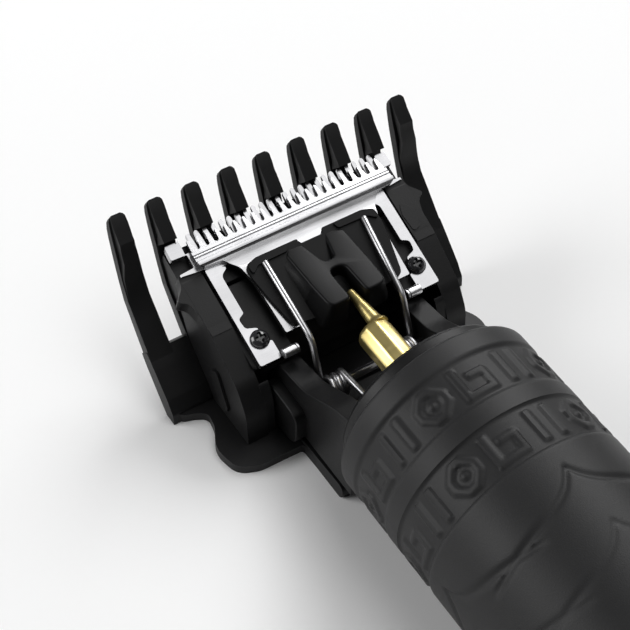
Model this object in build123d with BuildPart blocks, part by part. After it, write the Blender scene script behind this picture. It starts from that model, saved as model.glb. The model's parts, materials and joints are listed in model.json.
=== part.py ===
"""A cordless T-blade hair trimmer with a clip-on guide comb, as an assembly of separate pieces.

The trimmer lies on its skin side, with the moving blade on top.  The body's axis runs along Y with
the blades towards +Y, X runs along the cutting edge, and Z = 0 is the surface that it lies on.
"""

import os
from math import cos, radians, sin

from build123d import *

os.makedirs("parts", exist_ok=True)

# ---------------------------------------------------------------- driving dimensions, in millimetres
half_length = 80.0          # comb tips at +Y, charging end at -Y
body_diameter = 32.5
body_wall = 2.0
collar_y = 32.4             # front rim of the body shell
cap_joint_y = -76.0         # where the end cap meets the shell

blade_angle = 20.0          # the blades rise towards their teeth
blade_y, blade_z = 69.8, 20.4   # a point on the face where the two blades rub
blade_width = 40.0
blade_thickness = 1.2
blade_gap = 0.05            # oil film between the blades

cam_z = 17.55               # motor, hub and cam turn about this height
cam_throw = 1.35            # the drive pin's distance from that axis
cam_rest_angle = 50.0       # of the drive pin, from +X towards +Z

comb_teeth = 9
comb_pitch = 6.27
comb_half_width = 27.4
clearance = 0.3             # between pieces that move apart

# ---------------------------------------------------------------- worked-out dimensions and planes
body_radius = body_diameter / 2
bore_radius = body_radius - body_wall
axis_z = body_radius
blade_shift = cam_throw * cos(radians(cam_rest_angle))   # the moving blade's place at rest
drive_pin_x = blade_shift
drive_pin_z = cam_z + cam_throw * sin(radians(cam_rest_angle))

# Sketches on the blade plane use X and the distance s towards the teeth; side profiles use s and
# the height t above the rubbing face.
rise = radians(blade_angle)
blade_plane = Plane(origin=(0, blade_y, blade_z), x_dir=(1, 0, 0), z_dir=(0, -sin(rise), cos(rise)))
blade_side = Plane(origin=(0, blade_y, blade_z), x_dir=(0, cos(rise), sin(rise)), z_dir=(1, 0, 0))


def section_at(y):
    """A plane square to the body's axis, whose sketches use X and Z.  Extruding by -L runs towards +Y."""
    return Plane.XZ.offset(-y)


def on_blade(x, s, t):
    """A point given by X, the distance s along the blade plane and the height t above it."""
    return (x, blade_y + s * cos(rise) - t * sin(rise), blade_z + s * sin(rise) + t * cos(rise))


def save(part, name):
    """Labels a finished piece and writes it as its own STEP file."""
    part.label = name
    export_step(part, f"parts/{name}.step")


def rod(x, z, radius, start_y, end_y, mode=Mode.ADD):
    """A plain rod along Y, added to the part being built."""
    with Locations((x, (start_y + end_y) / 2, z)):
        Cylinder(radius, end_y - start_y, rotation=(90, 0, 0), mode=mode)


def bore(x, z, radius, start_y, end_y):
    """A round hole along Y through the part being built."""
    rod(x, z, radius, start_y, end_y, mode=Mode.SUBTRACT)


# ---------------------------------------------------------------- body shell, end cap, seals
switch_y, switch_travel = -36.0, 4.0        # rest place of the switch's middle, and its travel
button_width, button_length = 5.2, 8.0
slot_margin = 0.4
lens_y, lens_radius = -16.0, 1.1
collar_round = 0.6

with BuildPart() as body_shell:
    with BuildSketch(section_at(cap_joint_y)):
        with Locations((0, axis_z)):
            Circle(body_radius)
            Circle(bore_radius, mode=Mode.SUBTRACT)
    extrude(amount=-(collar_y - cap_joint_y))
    outer_rim = body_shell.edges().filter_by(GeomType.CIRCLE).group_by(Axis.Y)[-1].sort_by(SortBy.RADIUS)[-1]
    fillet(outer_rim, collar_round)
    slot_length = button_length + switch_travel + 2 * slot_margin
    with BuildSketch(Plane.XY.offset(axis_z)):
        with Locations((0, switch_y + switch_travel / 2)):
            RectangleRounded(button_width + 2 * slot_margin, slot_length, 1.2)
        with Locations((0, lens_y)):
            Circle(lens_radius)
    extrude(amount=body_radius + 1, mode=Mode.SUBTRACT)
save(body_shell.part, "body_shell")

spigot_length, spigot_wall = 6.0, 1.8
port_width, port_height, port_z = 7.8, 3.0, 16.25
port_round = 1.2
cap_screw_x, cap_screw_radius, cap_head_radius, cap_head_depth = 10.5, 0.95, 2.0, 1.8
cap_round = 1.6
cut_margin = 1.0            # how far a cutting shape runs past the face that it starts from

with BuildPart() as end_cap:
    rod(0, axis_z, body_radius, -half_length, cap_joint_y)
    fillet(end_cap.edges().filter_by(GeomType.CIRCLE).sort_by(Axis.Y)[0], cap_round)
    with BuildSketch(section_at(cap_joint_y)):
        with Locations((0, axis_z)):
            Circle(bore_radius)
            Circle(bore_radius - spigot_wall, mode=Mode.SUBTRACT)
    extrude(amount=-spigot_length)
    with BuildSketch(section_at(-half_length - 1)):
        with Locations((0, port_z)):
            RectangleRounded(port_width, port_height, port_round)
    extrude(amount=-6, mode=Mode.SUBTRACT)
    for side in (-1, 1):
        bore(side * cap_screw_x, axis_z, cap_screw_radius + 0.15, -half_length - cut_margin,
             cap_joint_y + cut_margin)
        bore(side * cap_screw_x, axis_z, cap_head_radius + 0.1, -half_length - cut_margin,
             -half_length + cap_head_depth)
save(end_cap.part, "end_cap")

with BuildPart() as charge_socket:
    with BuildSketch(section_at(-half_length + 0.3)):
        with Locations((0, port_z)):
            RectangleRounded(port_width, port_height, port_round)
    extrude(amount=-6.0)
    with BuildSketch(section_at(-half_length + 0.3)):
        with Locations((0, port_z)):
            RectangleRounded(port_width - 0.8, port_height - 0.8, 0.8)
    extrude(amount=-5.2, mode=Mode.SUBTRACT)
    with BuildSketch(section_at(-half_length + 1.0)):
        with Locations((0, port_z)):
            Rectangle(4.2, 0.7)
    extrude(amount=-5.0)
save(charge_socket.part, "charge_socket")

cap_screw_end = -68.0

with BuildPart() as end_cap_screws:
    for side in (-1, 1):
        rod(side * cap_screw_x, axis_z, cap_head_radius, -half_length + 0.3, -half_length + cap_head_depth)
        rod(side * cap_screw_x, axis_z, cap_screw_radius, -half_length + cap_head_depth, cap_screw_end)
        bore(side * cap_screw_x, axis_z, 0.8, -half_length, -half_length + 0.9)
save(end_cap_screws.part, "end_cap_screws")

# ---------------------------------------------------------------- chassis, battery and electronics
chassis_start, chassis_end = cap_joint_y + spigot_length, 22.0
chassis_wall = 1.3
battery_radius, battery_z = 9.0, 13.0
battery_start, battery_end = -64.0, -14.0
board_z, board_thickness, board_half_width = 22.6, 1.2, 7.0
board_start, board_end = -66.0, -9.0
motor_radius = 10.2
motor_start, motor_end = -6.0, 20.0
saddle_thickness = 2.0
saddles_y = (-60.0, -22.0)
cell_cap_radius, cell_cap_height = 3.0, 1.2
tab_width, tab_height, tab_thickness = 5.0, 9.0, 0.4
chips = ((-58, 5.0), (-48, 3.2), (-22, 4.0))        # each chip's Y and size
chip_height = 1.1
motor_screw_x, head_screw_x, head_screw_z = 6.5, 7.0, 9.0

with BuildPart() as inner_chassis:
    with BuildSketch(section_at(chassis_start)):
        with Locations((0, axis_z)):
            Circle(bore_radius)
            Circle(bore_radius - chassis_wall, mode=Mode.SUBTRACT)
        with Locations((0, axis_z + body_radius - 2)):
            Rectangle(body_diameter, body_diameter, mode=Mode.SUBTRACT)
    extrude(amount=-(chassis_end - chassis_start))
    for saddle_y in saddles_y:
        with BuildSketch(section_at(saddle_y)):
            with Locations((0, axis_z)):
                Circle(bore_radius)
            with Locations((0, board_z + body_radius)):
                Rectangle(body_diameter, body_diameter, mode=Mode.SUBTRACT)
            with Locations((0, battery_z)):
                Circle(battery_radius, mode=Mode.SUBTRACT)
        extrude(amount=-saddle_thickness)
    with BuildSketch(section_at(chassis_end - 2.0)):
        with Locations((0, axis_z)):
            Circle(bore_radius)
        with Locations((0, cam_z)):
            Circle(3.2, mode=Mode.SUBTRACT)
    extrude(amount=-2.0)
    with BuildSketch(section_at(chassis_start)):
        with Locations((0, axis_z)):
            Circle(bore_radius)
            Circle(6.0, mode=Mode.SUBTRACT)
    extrude(amount=-1.6)
    for side in (-1, 1):
        rod(side * cap_screw_x, axis_z, 2.0, chassis_start, battery_start - 0.2)
        bore(side * cap_screw_x, axis_z, cap_screw_radius, chassis_start - cut_margin, battery_start)
        bore(side * motor_screw_x, cam_z, 1.0, chassis_end - 3, chassis_end + 1)
        bore(side * head_screw_x, head_screw_z, 1.0, chassis_end - 3, chassis_end + 1)
save(inner_chassis.part, "inner_chassis")

with BuildPart() as battery_cell:
    rod(0, battery_z, battery_radius, battery_start, battery_end)
    rod(0, battery_z, cell_cap_radius, battery_end, battery_end + cell_cap_height)
save(battery_cell.part, "battery_cell")

with BuildPart() as battery_tabs:
    for tab_y in (battery_start - tab_thickness, battery_end + cell_cap_height):
        with BuildSketch(section_at(tab_y)):
            with Locations((0, battery_z + 4.0)):
                Rectangle(tab_width, tab_height)
        extrude(amount=-tab_thickness)
save(battery_tabs.part, "battery_tabs")

with BuildPart() as circuit_board:
    with BuildSketch(Plane.XY.offset(board_z)):
        with Locations((0, (board_start + board_end) / 2)):
            Rectangle(2 * board_half_width, board_end - board_start)
    extrude(amount=board_thickness)
    for chip_y, chip_size in chips:
        with BuildSketch(Plane.XY.offset(board_z + board_thickness)):
            with Locations((-2.5, chip_y)):
                Rectangle(chip_size, chip_size)
        extrude(amount=chip_height)
save(circuit_board.part, "circuit_board")

board_top = board_z + board_thickness
switch_middle = switch_y + switch_travel / 2
switch_height = 2.6
stem_start = board_top + switch_height + clearance
flange_thickness = 1.0
with BuildPart() as switch_unit:
    with BuildSketch(Plane.XY.offset(board_top)):
        with Locations((0, switch_middle)):
            Rectangle(6.0, 12.0)
    extrude(amount=switch_height)
save(switch_unit.part, "switch_unit")

flange_top = 29.4
button_top = axis_z + body_radius + 0.7
with BuildPart() as switch_button:
    with BuildSketch(Plane.XY.offset(stem_start)):
        with Locations((0, switch_y)):
            Rectangle(3.0, 3.0)
    extrude(amount=flange_top - flange_thickness - stem_start)
    with BuildSketch(Plane.XY.offset(flange_top - flange_thickness)):
        with Locations((0, switch_y)):
            Rectangle(7.4, button_length + 4)
    extrude(amount=flange_thickness)
    with BuildSketch(Plane.XY.offset(flange_top)):
        with Locations((0, switch_y)):
            RectangleRounded(button_width, button_length, 1.0)
    extrude(amount=button_top - flange_top)
    for groove in range(-2, 3):
        with BuildSketch(Plane.XY.offset(button_top - 0.5)):
            with Locations((0, switch_y + groove * 1.3)):
                Rectangle(button_width, 0.5)
        extrude(amount=1.0, mode=Mode.SUBTRACT)
save(switch_button.part, "switch_button")

with BuildPart() as status_lens:
    with BuildSketch(Plane.XY.offset(board_top)):
        with Locations((0, lens_y)):
            Circle(lens_radius)
    extrude(amount=axis_z + body_radius - 0.15 - board_top)
save(status_lens.part, "status_lens")

# ---------------------------------------------------------------- motor, shaft and eccentric hub
shaft_radius = 1.0
can_wall = 0.8
bush_radius, bell_thickness = 2.2, 2.4
rotor_radius, rotor_start, rotor_length = 7.0, 0.5, 14.0
hub_bore_depth = 2.5        # of hub left solid in front of the shaft
hub_radius, hub_start, hub_end = 2.85, 36.0, 48.25
flute_count, flute_radius = 12, 0.42
pin_tip_y, pin_root_radius, pin_tip_radius = 55.6, 1.15, 0.62

with BuildPart() as motor_can:
    rod(0, cam_z, motor_radius, motor_start, motor_end)
    bore(0, cam_z, motor_radius - can_wall, motor_start - 1, motor_end - can_wall)
    rod(0, cam_z, 3.0, motor_end, motor_end + 1.4)
    bore(0, cam_z, bush_radius, motor_end - 2, motor_end + 2)
save(motor_can.part, "motor_can")

with BuildPart() as motor_end_bell:
    rod(0, cam_z, motor_radius - can_wall, motor_start, motor_start + bell_thickness)
    bore(0, cam_z, bush_radius, motor_start - 1, motor_start + 3)
save(motor_end_bell.part, "motor_end_bell")

with BuildPart() as motor_bushes:
    for bush_y, bush_length in ((motor_start, bell_thickness), (motor_end - can_wall, 2.2)):
        rod(0, cam_z, bush_radius, bush_y, bush_y + bush_length)
        bore(0, cam_z, shaft_radius + 0.05, bush_y - 0.1, bush_y + bush_length + 0.1)
save(motor_bushes.part, "motor_bushes")

magnet_inner, magnet_length = 7.6, 15.0
with BuildPart() as motor_magnets:
    with BuildSketch(section_at(0)):
        with Locations((0, cam_z)):
            Circle(motor_radius - can_wall)
            Circle(magnet_inner, mode=Mode.SUBTRACT)
            Rectangle(30, 6, mode=Mode.SUBTRACT)
    extrude(amount=-magnet_length)
save(motor_magnets.part, "motor_magnets")

with BuildPart() as motor_terminals:
    for side in (-1, 1):
        with BuildSketch(section_at(motor_start)):
            with Locations((side * 5.0, cam_z + 2)):
                Rectangle(2.0, 0.6)
        extrude(amount=2.6)
save(motor_terminals.part, "motor_terminals")

with BuildPart() as motor_rotor:
    with BuildSketch(section_at(rotor_start)):
        with Locations((0, cam_z)):
            Circle(rotor_radius)
            with PolarLocations(6.2, 5):
                Rectangle(3.0, 1.6, mode=Mode.SUBTRACT)
            Circle(shaft_radius, mode=Mode.SUBTRACT)
    extrude(amount=-rotor_length)
save(motor_rotor.part, "motor_rotor")

with BuildPart() as motor_shaft:
    rod(0, cam_z, shaft_radius, motor_start - 0.8, hub_end - hub_bore_depth)
save(motor_shaft.part, "motor_shaft")

with BuildPart() as motor_screws:
    for side in (-1, 1):
        rod(side * motor_screw_x, cam_z, 1.8, chassis_end, chassis_end + 1.2)
        rod(side * motor_screw_x, cam_z, 1.0, chassis_end - 2.0, chassis_end)
save(motor_screws.part, "motor_screws")

with BuildPart() as eccentric_hub:
    rod(0, cam_z, hub_radius, hub_start, hub_end)
    with BuildSketch(section_at(hub_start)):
        with Locations((0, cam_z)):
            with PolarLocations(hub_radius + 0.15, flute_count):
                Circle(flute_radius)
    extrude(amount=-(hub_end - hub_start), mode=Mode.SUBTRACT)
    with BuildSketch(section_at(hub_end)):
        with Locations((drive_pin_x, drive_pin_z)):
            Circle(pin_root_radius)
    with BuildSketch(section_at(pin_tip_y)):
        with Locations((drive_pin_x, drive_pin_z)):
            Circle(pin_tip_radius)
    loft()
    bore(0, cam_z, shaft_radius, hub_start - 1, hub_end - hub_bore_depth)
save(eccentric_hub.part, "eccentric_hub")

# ---------------------------------------------------------------- head housing and its fasteners
neck_start, neck_wall = chassis_end, 1.8
pocket_half_width = 9.4
cheek_half_width, cheek_round = 14.6, 15.4
floor_z = 2.4
spring_pin_y, spring_pin_z, spring_pin_radius = 47.4, 9.4, 1.0
seal_y, seal_width, seal_depth = 27.0, 1.6, 0.9
platform_half_width, platform_thickness = 17.0, 2.3
platform_back, platform_front = -17.6, -4.0
foot_inner, leg_inner, leg_outer = 12.5, 14.3, 16.2     # the fixed blade's legs, and the feet at their ends
foot_front, leg_end = -12.3, -17.8
blade_screw_x, blade_screw_s = 14.2, -14.0
blade_screw_radius, blade_screw_head_radius, blade_screw_head = 0.95, 1.5, 1.1
locating_pin_radius, locating_pin_y, locating_pin_z = 0.8, 53.0, 14.3
locating_pin_length = 2.5

with BuildPart() as head_housing:
    with BuildSketch(section_at(neck_start)):
        with Locations((0, axis_z)):
            Circle(bore_radius)
            Circle(bore_radius - neck_wall, mode=Mode.SUBTRACT)
    extrude(amount=-(collar_y - neck_start))
    rod(0, axis_z, bore_radius, collar_y - 3, collar_y)
    with BuildSketch(Plane.YZ):
        with BuildLine():
            Polyline(
                (collar_y, floor_z), (54.0, floor_z), (56.6, 5.0), (57.0, 9.0), (54.5, 12.5),
                (46.0, 13.4), (38.0, 18.6), (collar_y, 20.5), close=True,
            )
        make_face()
    extrude(amount=cheek_half_width, both=True)
    with BuildSketch(section_at(collar_y + 40)):
        with Locations((0, axis_z)):
            Rectangle(60, 60)
            Circle(cheek_round, mode=Mode.SUBTRACT)
    extrude(amount=40, mode=Mode.SUBTRACT)
    with BuildSketch(Plane.XY.offset(floor_z + 2.0)):
        with Locations((0, 45.6)):
            Rectangle(2 * pocket_half_width, 20.4)
    extrude(amount=30, mode=Mode.SUBTRACT)
    with BuildSketch(blade_plane.offset(-blade_thickness)):
        with Locations((0, (platform_back + platform_front) / 2)):
            Rectangle(2 * platform_half_width, platform_front - platform_back)
        with Locations((0, platform_back)):
            Rectangle(2 * pocket_half_width, 5.0, mode=Mode.SUBTRACT)
    extrude(amount=-platform_thickness)
    with BuildSketch(Plane.YZ.offset(-cheek_half_width - 1)):
        with Locations((spring_pin_y, spring_pin_z)):
            Circle(spring_pin_radius)
    extrude(amount=2 * cheek_half_width + 2, mode=Mode.SUBTRACT)
    bore(0, cam_z, hub_radius + 0.6, collar_y - 4, collar_y + 4)
    bore(0, axis_z, bore_radius - neck_wall, neck_start - 1, collar_y - 3)
    for side in (-1, 1):
        rod(side * head_screw_x, head_screw_z, 2.2, neck_start, collar_y - 3)
        bore(side * head_screw_x, head_screw_z, 1.0, neck_start - 1, collar_y + 1)
        bore(side * head_screw_x, head_screw_z, 2.1, collar_y + 0.2, collar_y + 4)
        with BuildSketch(blade_plane.offset(-blade_thickness)):
            with Locations((side * blade_screw_x, blade_screw_s)):
                Circle(blade_screw_radius)
        extrude(amount=-platform_thickness, mode=Mode.SUBTRACT)
        with BuildSketch(Plane.YZ.offset(side * foot_inner)):
            with Locations((locating_pin_y, locating_pin_z)):
                Circle(locating_pin_radius)
        extrude(amount=-side * 4.0, mode=Mode.SUBTRACT)
    with BuildSketch(section_at(seal_y)):
        with Locations((0, axis_z)):
            Circle(bore_radius + 1)
            Circle(bore_radius - seal_depth, mode=Mode.SUBTRACT)
    extrude(amount=-seal_width, mode=Mode.SUBTRACT)
save(head_housing.part, "head_housing")

with BuildPart() as head_seal:
    with BuildSketch(section_at(seal_y)):
        with Locations((0, axis_z)):
            Circle(bore_radius)
            Circle(bore_radius - seal_depth, mode=Mode.SUBTRACT)
    extrude(amount=-seal_width)
save(head_seal.part, "head_seal")

with BuildPart() as head_screws:
    for side in (-1, 1):
        rod(side * head_screw_x, head_screw_z, 1.0, chassis_end - 2.0, collar_y + 0.2)
        rod(side * head_screw_x, head_screw_z, 1.9, collar_y + 0.2, collar_y + 1.7)
save(head_screws.part, "head_screws")

with BuildPart() as spring_pin:
    with BuildSketch(Plane.YZ.offset(-cheek_half_width + 0.5)):
        with Locations((spring_pin_y, spring_pin_z)):
            Circle(spring_pin_radius)
    extrude(amount=2 * cheek_half_width - 1)
save(spring_pin.part, "spring_pin")

# ---------------------------------------------------------------- torsion spring
wire_radius = 0.5
leg_x, leg_tip_x = 8.2, 8.95
coil_inner, coil_length = 1.15, 3.9
coil_mean = coil_inner + wire_radius
follower_pad_t = 1.5
spring_tip = on_blade(0, -3.9, follower_pad_t + wire_radius + 0.12)
spring_bend = (0, 52.0, 17.0)
bridge_y, bridge_z = 38.4, 13.0
coil_offset = 0.15

with BuildPart() as torsion_spring:
    for side in (-1, 1):
        with BuildLine():
            FilletPolyline(
                (side * leg_tip_x + blade_shift, spring_tip[1], spring_tip[2]),
                (side * leg_x, spring_bend[1], spring_bend[2]),
                (side * leg_x, spring_pin_y + coil_mean, spring_pin_z),
                radius=1.6,
            )
        leg_start = Plane(
            origin=(side * leg_tip_x + blade_shift, spring_tip[1], spring_tip[2]),
            z_dir=Vector(side * (leg_x - leg_tip_x) - blade_shift, spring_bend[1] - spring_tip[1],
                         spring_bend[2] - spring_tip[2]),
        )
        with BuildSketch(leg_start):
            Circle(wire_radius)
        sweep()
        coil_start = side * (leg_x + wire_radius + coil_offset)
        with BuildSketch(Plane.YZ.offset(coil_start)):
            with Locations((spring_pin_y, spring_pin_z)):
                Circle(coil_mean + wire_radius)
                Circle(coil_inner, mode=Mode.SUBTRACT)
        extrude(amount=-side * coil_length)
    bridge_x = leg_x - coil_length + 2 * wire_radius
    with BuildLine():
        FilletPolyline(
            (-bridge_x, spring_pin_y - coil_mean + 0.3, spring_pin_z - 0.3),
            (-bridge_x, bridge_y, bridge_z),
            (bridge_x, bridge_y, bridge_z),
            (bridge_x, spring_pin_y - coil_mean + 0.3, spring_pin_z - 0.3),
            radius=1.6,
        )
    bridge_start = Plane(
        origin=(-bridge_x, spring_pin_y - coil_mean + 0.3, spring_pin_z - 0.3),
        z_dir=(0, bridge_y - spring_pin_y + coil_mean - 0.3, bridge_z - spring_pin_z + 0.3),
    )
    with BuildSketch(bridge_start):
        Circle(wire_radius)
    sweep()
save(torsion_spring.part, "torsion_spring")

# ---------------------------------------------------------------- fixed blade
strip_back, middle_back, tooth_root, tooth_tip = -0.5, -1.6, 2.6, 5.65
fixed_pitch, fixed_count, fixed_gap = 1.43, 25, 0.5
tab_half_width, notch_front, notch_back = 17.7, 2.6, 0.2
row_half_width = fixed_pitch * (fixed_count - 1) / 2 + 0.45
tip_thickness = 0.35

with BuildPart() as fixed_blade:
    with BuildSketch(blade_plane.offset(-blade_thickness)):
        with Locations((0, (strip_back + tooth_root) / 2)):
            Rectangle(blade_width, tooth_root - strip_back)
        with Locations((0, (tooth_root + tooth_tip) / 2)):
            Rectangle(2 * row_half_width, tooth_tip - tooth_root)
        with Locations((0, middle_back / 2)):
            Rectangle(2 * leg_inner, -middle_back)
        for side in (-1, 1):
            tab_middle = side * (row_half_width + blade_width / 2) / 2
            with Locations((tab_middle, (tooth_root + tooth_tip) / 2 - 0.25)):
                Rectangle(blade_width / 2 - row_half_width, tooth_tip - tooth_root - 0.5)
            with Locations((side * (leg_inner + leg_outer) / 2, (leg_end + strip_back) / 2)):
                Rectangle(leg_outer - leg_inner, strip_back - leg_end)
            with Locations((side * (foot_inner + leg_outer) / 2, (leg_end + foot_front) / 2)):
                Rectangle(leg_outer - foot_inner, foot_front - leg_end)
            with Locations((side * blade_screw_x, blade_screw_s)):
                Circle(blade_screw_radius + 0.05, mode=Mode.SUBTRACT)
            with Locations((side * (tab_half_width + blade_width / 2) / 2, (notch_front + notch_back) / 2)):
                Rectangle(blade_width / 2 - tab_half_width, notch_front - notch_back, mode=Mode.SUBTRACT)
    extrude(amount=blade_thickness)
    with BuildSketch(blade_side):
        with BuildLine():
            Polyline(
                (tooth_root, -blade_thickness), (tooth_tip, -blade_thickness),
                (tooth_tip, -tip_thickness), close=True,
            )
        make_face()
    extrude(amount=row_half_width, both=True, mode=Mode.SUBTRACT)
    with BuildSketch(blade_plane.offset(-blade_thickness - 0.5)):
        with GridLocations(fixed_pitch, 1, fixed_count - 1, 1):
            with Locations((0, (tooth_root + tooth_tip + 1) / 2)):
                Rectangle(fixed_gap, tooth_tip + 1 - tooth_root)
    extrude(amount=blade_thickness + 1, mode=Mode.SUBTRACT)
save(fixed_blade.part, "fixed_blade")

with BuildPart() as blade_screws:
    for side in (-1, 1):
        with BuildSketch(blade_plane):
            with Locations((side * blade_screw_x, blade_screw_s)):
                Circle(blade_screw_head_radius)
        extrude(amount=blade_screw_head)
        with BuildSketch(blade_plane.offset(-blade_thickness - platform_thickness)):
            with Locations((side * blade_screw_x, blade_screw_s)):
                Circle(blade_screw_radius)
        extrude(amount=blade_thickness + platform_thickness)
save(blade_screws.part, "blade_screws")

with BuildPart() as locating_pins:
    for side in (-1, 1):
        with BuildSketch(Plane.YZ.offset(side * foot_inner)):
            with Locations((locating_pin_y, locating_pin_z)):
                Circle(locating_pin_radius)
        extrude(amount=-side * locating_pin_length)
save(locating_pins.part, "locating_pins")

# ---------------------------------------------------------------- moving blade and its follower
moving_half_width, moving_count = 17.65, 22
moving_tip, moving_root = 4.5, 2.45
moving_pitch, moving_gap = 34.0 / (moving_count - 1), 0.62
tongue_t = 0.9
tongue_half_width, tongue_back = 11.2, -15.0
rivets = ((-8.0, -7.5), (8.0, -7.5))
rivet_radius = 0.8

with BuildPart() as moving_blade:
    with BuildSketch(blade_side):
        with BuildLine():
            Polyline(
                (moving_tip, blade_gap), (moving_tip, 0.42), (moving_root, 0.85), (0.62, 1.08),
                (0.5, 1.3), (0.0, 1.3), (-0.6, tongue_t), (-0.7, blade_gap), close=True,
            )
        make_face()
    extrude(amount=moving_half_width, both=True)
    with BuildSketch(blade_plane.offset(blade_gap)):
        with BuildLine():
            for side in (-1, 1):
                Line((side * tongue_half_width, tongue_back), (side * tongue_half_width, -4.6))
                ThreePointArc((side * tongue_half_width, -4.6), (side * 12.4, -1.9), (side * 14.2, -0.5))
            Line((-14.2, -0.5), (14.2, -0.5))
            Line((-tongue_half_width, tongue_back), (tongue_half_width, tongue_back))
        make_face()
        with Locations((0, tongue_back + 1.3)):
            Rectangle(12.8, 2.6, mode=Mode.SUBTRACT)
    extrude(amount=tongue_t - blade_gap)
    with BuildSketch(blade_plane.offset(-0.5)):
        with GridLocations(moving_pitch, 1, moving_count - 1, 1):
            with Locations((0, (moving_root + moving_tip + 1) / 2)):
                Rectangle(moving_gap, moving_tip + 1 - moving_root)
    extrude(amount=2, mode=Mode.SUBTRACT)
    with BuildSketch(blade_plane.offset(-0.5)):
        with Locations(*rivets):
            Circle(rivet_radius)
    extrude(amount=2, mode=Mode.SUBTRACT)
save(Pos(blade_shift, 0, 0) * moving_blade.part, "moving_blade")

follower_top = 20.5
block_front_y, block_back_y, slot_front_y = 66.4, 53.1, 59.5
slot_half_width = 1.3

with BuildPart() as blade_follower:
    # the block, level on top and cut off underneath by the moving blade's face
    with BuildSketch(Plane.XY.offset(10)):
        with BuildLine():
            Polyline(
                (-4.2, block_front_y), (4.2, block_front_y), (5.6, 64.4), (5.2, 58.0),
                (5.1, block_back_y), (-5.1, block_back_y), (-5.2, 58.0), (-5.6, 64.4), close=True,
            )
        make_face()
        with Locations((0, (slot_front_y + block_back_y - 2) / 2)):
            RectangleRounded(2 * slot_half_width, slot_front_y - block_back_y + 2, 0.6, mode=Mode.SUBTRACT)
        with Locations((0, 63.3)):
            RectangleRounded(4.2, 3.2, 0.8, mode=Mode.SUBTRACT)
    extrude(amount=follower_top - 10)
    with BuildSketch(blade_plane.offset(tongue_t)):
        Rectangle(60, 60)
    extrude(amount=-20, mode=Mode.SUBTRACT)
    # the plate with its two spring pads, and the ledge in front of each
    with BuildSketch(blade_plane.offset(tongue_t)):
        with BuildLine():
            Polyline(
                (-9.6, -2.6), (9.6, -2.6), (11.6, -3.4), (11.7, -5.6), (11.2, -8.6), (9.9, -14.6),
                (5.0, -15.2), (-5.0, -15.2), (-9.9, -14.6), (-11.2, -8.6), (-11.7, -5.6), (-11.6, -3.4),
                close=True,
            )
        make_face()
    extrude(amount=follower_pad_t - tongue_t)
    with BuildSketch(blade_plane.offset(tongue_t)):
        with Locations((-7.0, -3.0), (7.0, -3.0)):
            Rectangle(6.4, 0.8)
    extrude(amount=1.2)
    with BuildSketch(blade_plane.offset(tongue_t - 0.5)):
        with Locations(*rivets):
            Circle(rivet_radius)
    extrude(amount=2, mode=Mode.SUBTRACT)
save(Pos(blade_shift, 0, 0) * blade_follower.part, "blade_follower")

with BuildPart() as follower_rivets:
    with BuildSketch(blade_plane.offset(blade_gap)):
        with Locations(*rivets):
            Circle(rivet_radius)
    extrude(amount=follower_pad_t - blade_gap)
save(Pos(blade_shift, 0, 0) * follower_rivets.part, "follower_rivets")

# ---------------------------------------------------------------- guide comb
comb_floor = 1.9
cradle_half_width, cradle_top = 21.0, -blade_thickness - clearance
pocket_floor = cradle_top - platform_thickness - 0.2
cradle_bottom = pocket_floor - 1.8
cradle_back = -12.0
slot_bottom = (69.0, 8.9)
tooth_gap = 2.75
nose_top, nose_under = (74.4, 23.05), (74.5, 22.7)      # the noses stand over the blades' tips

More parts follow.
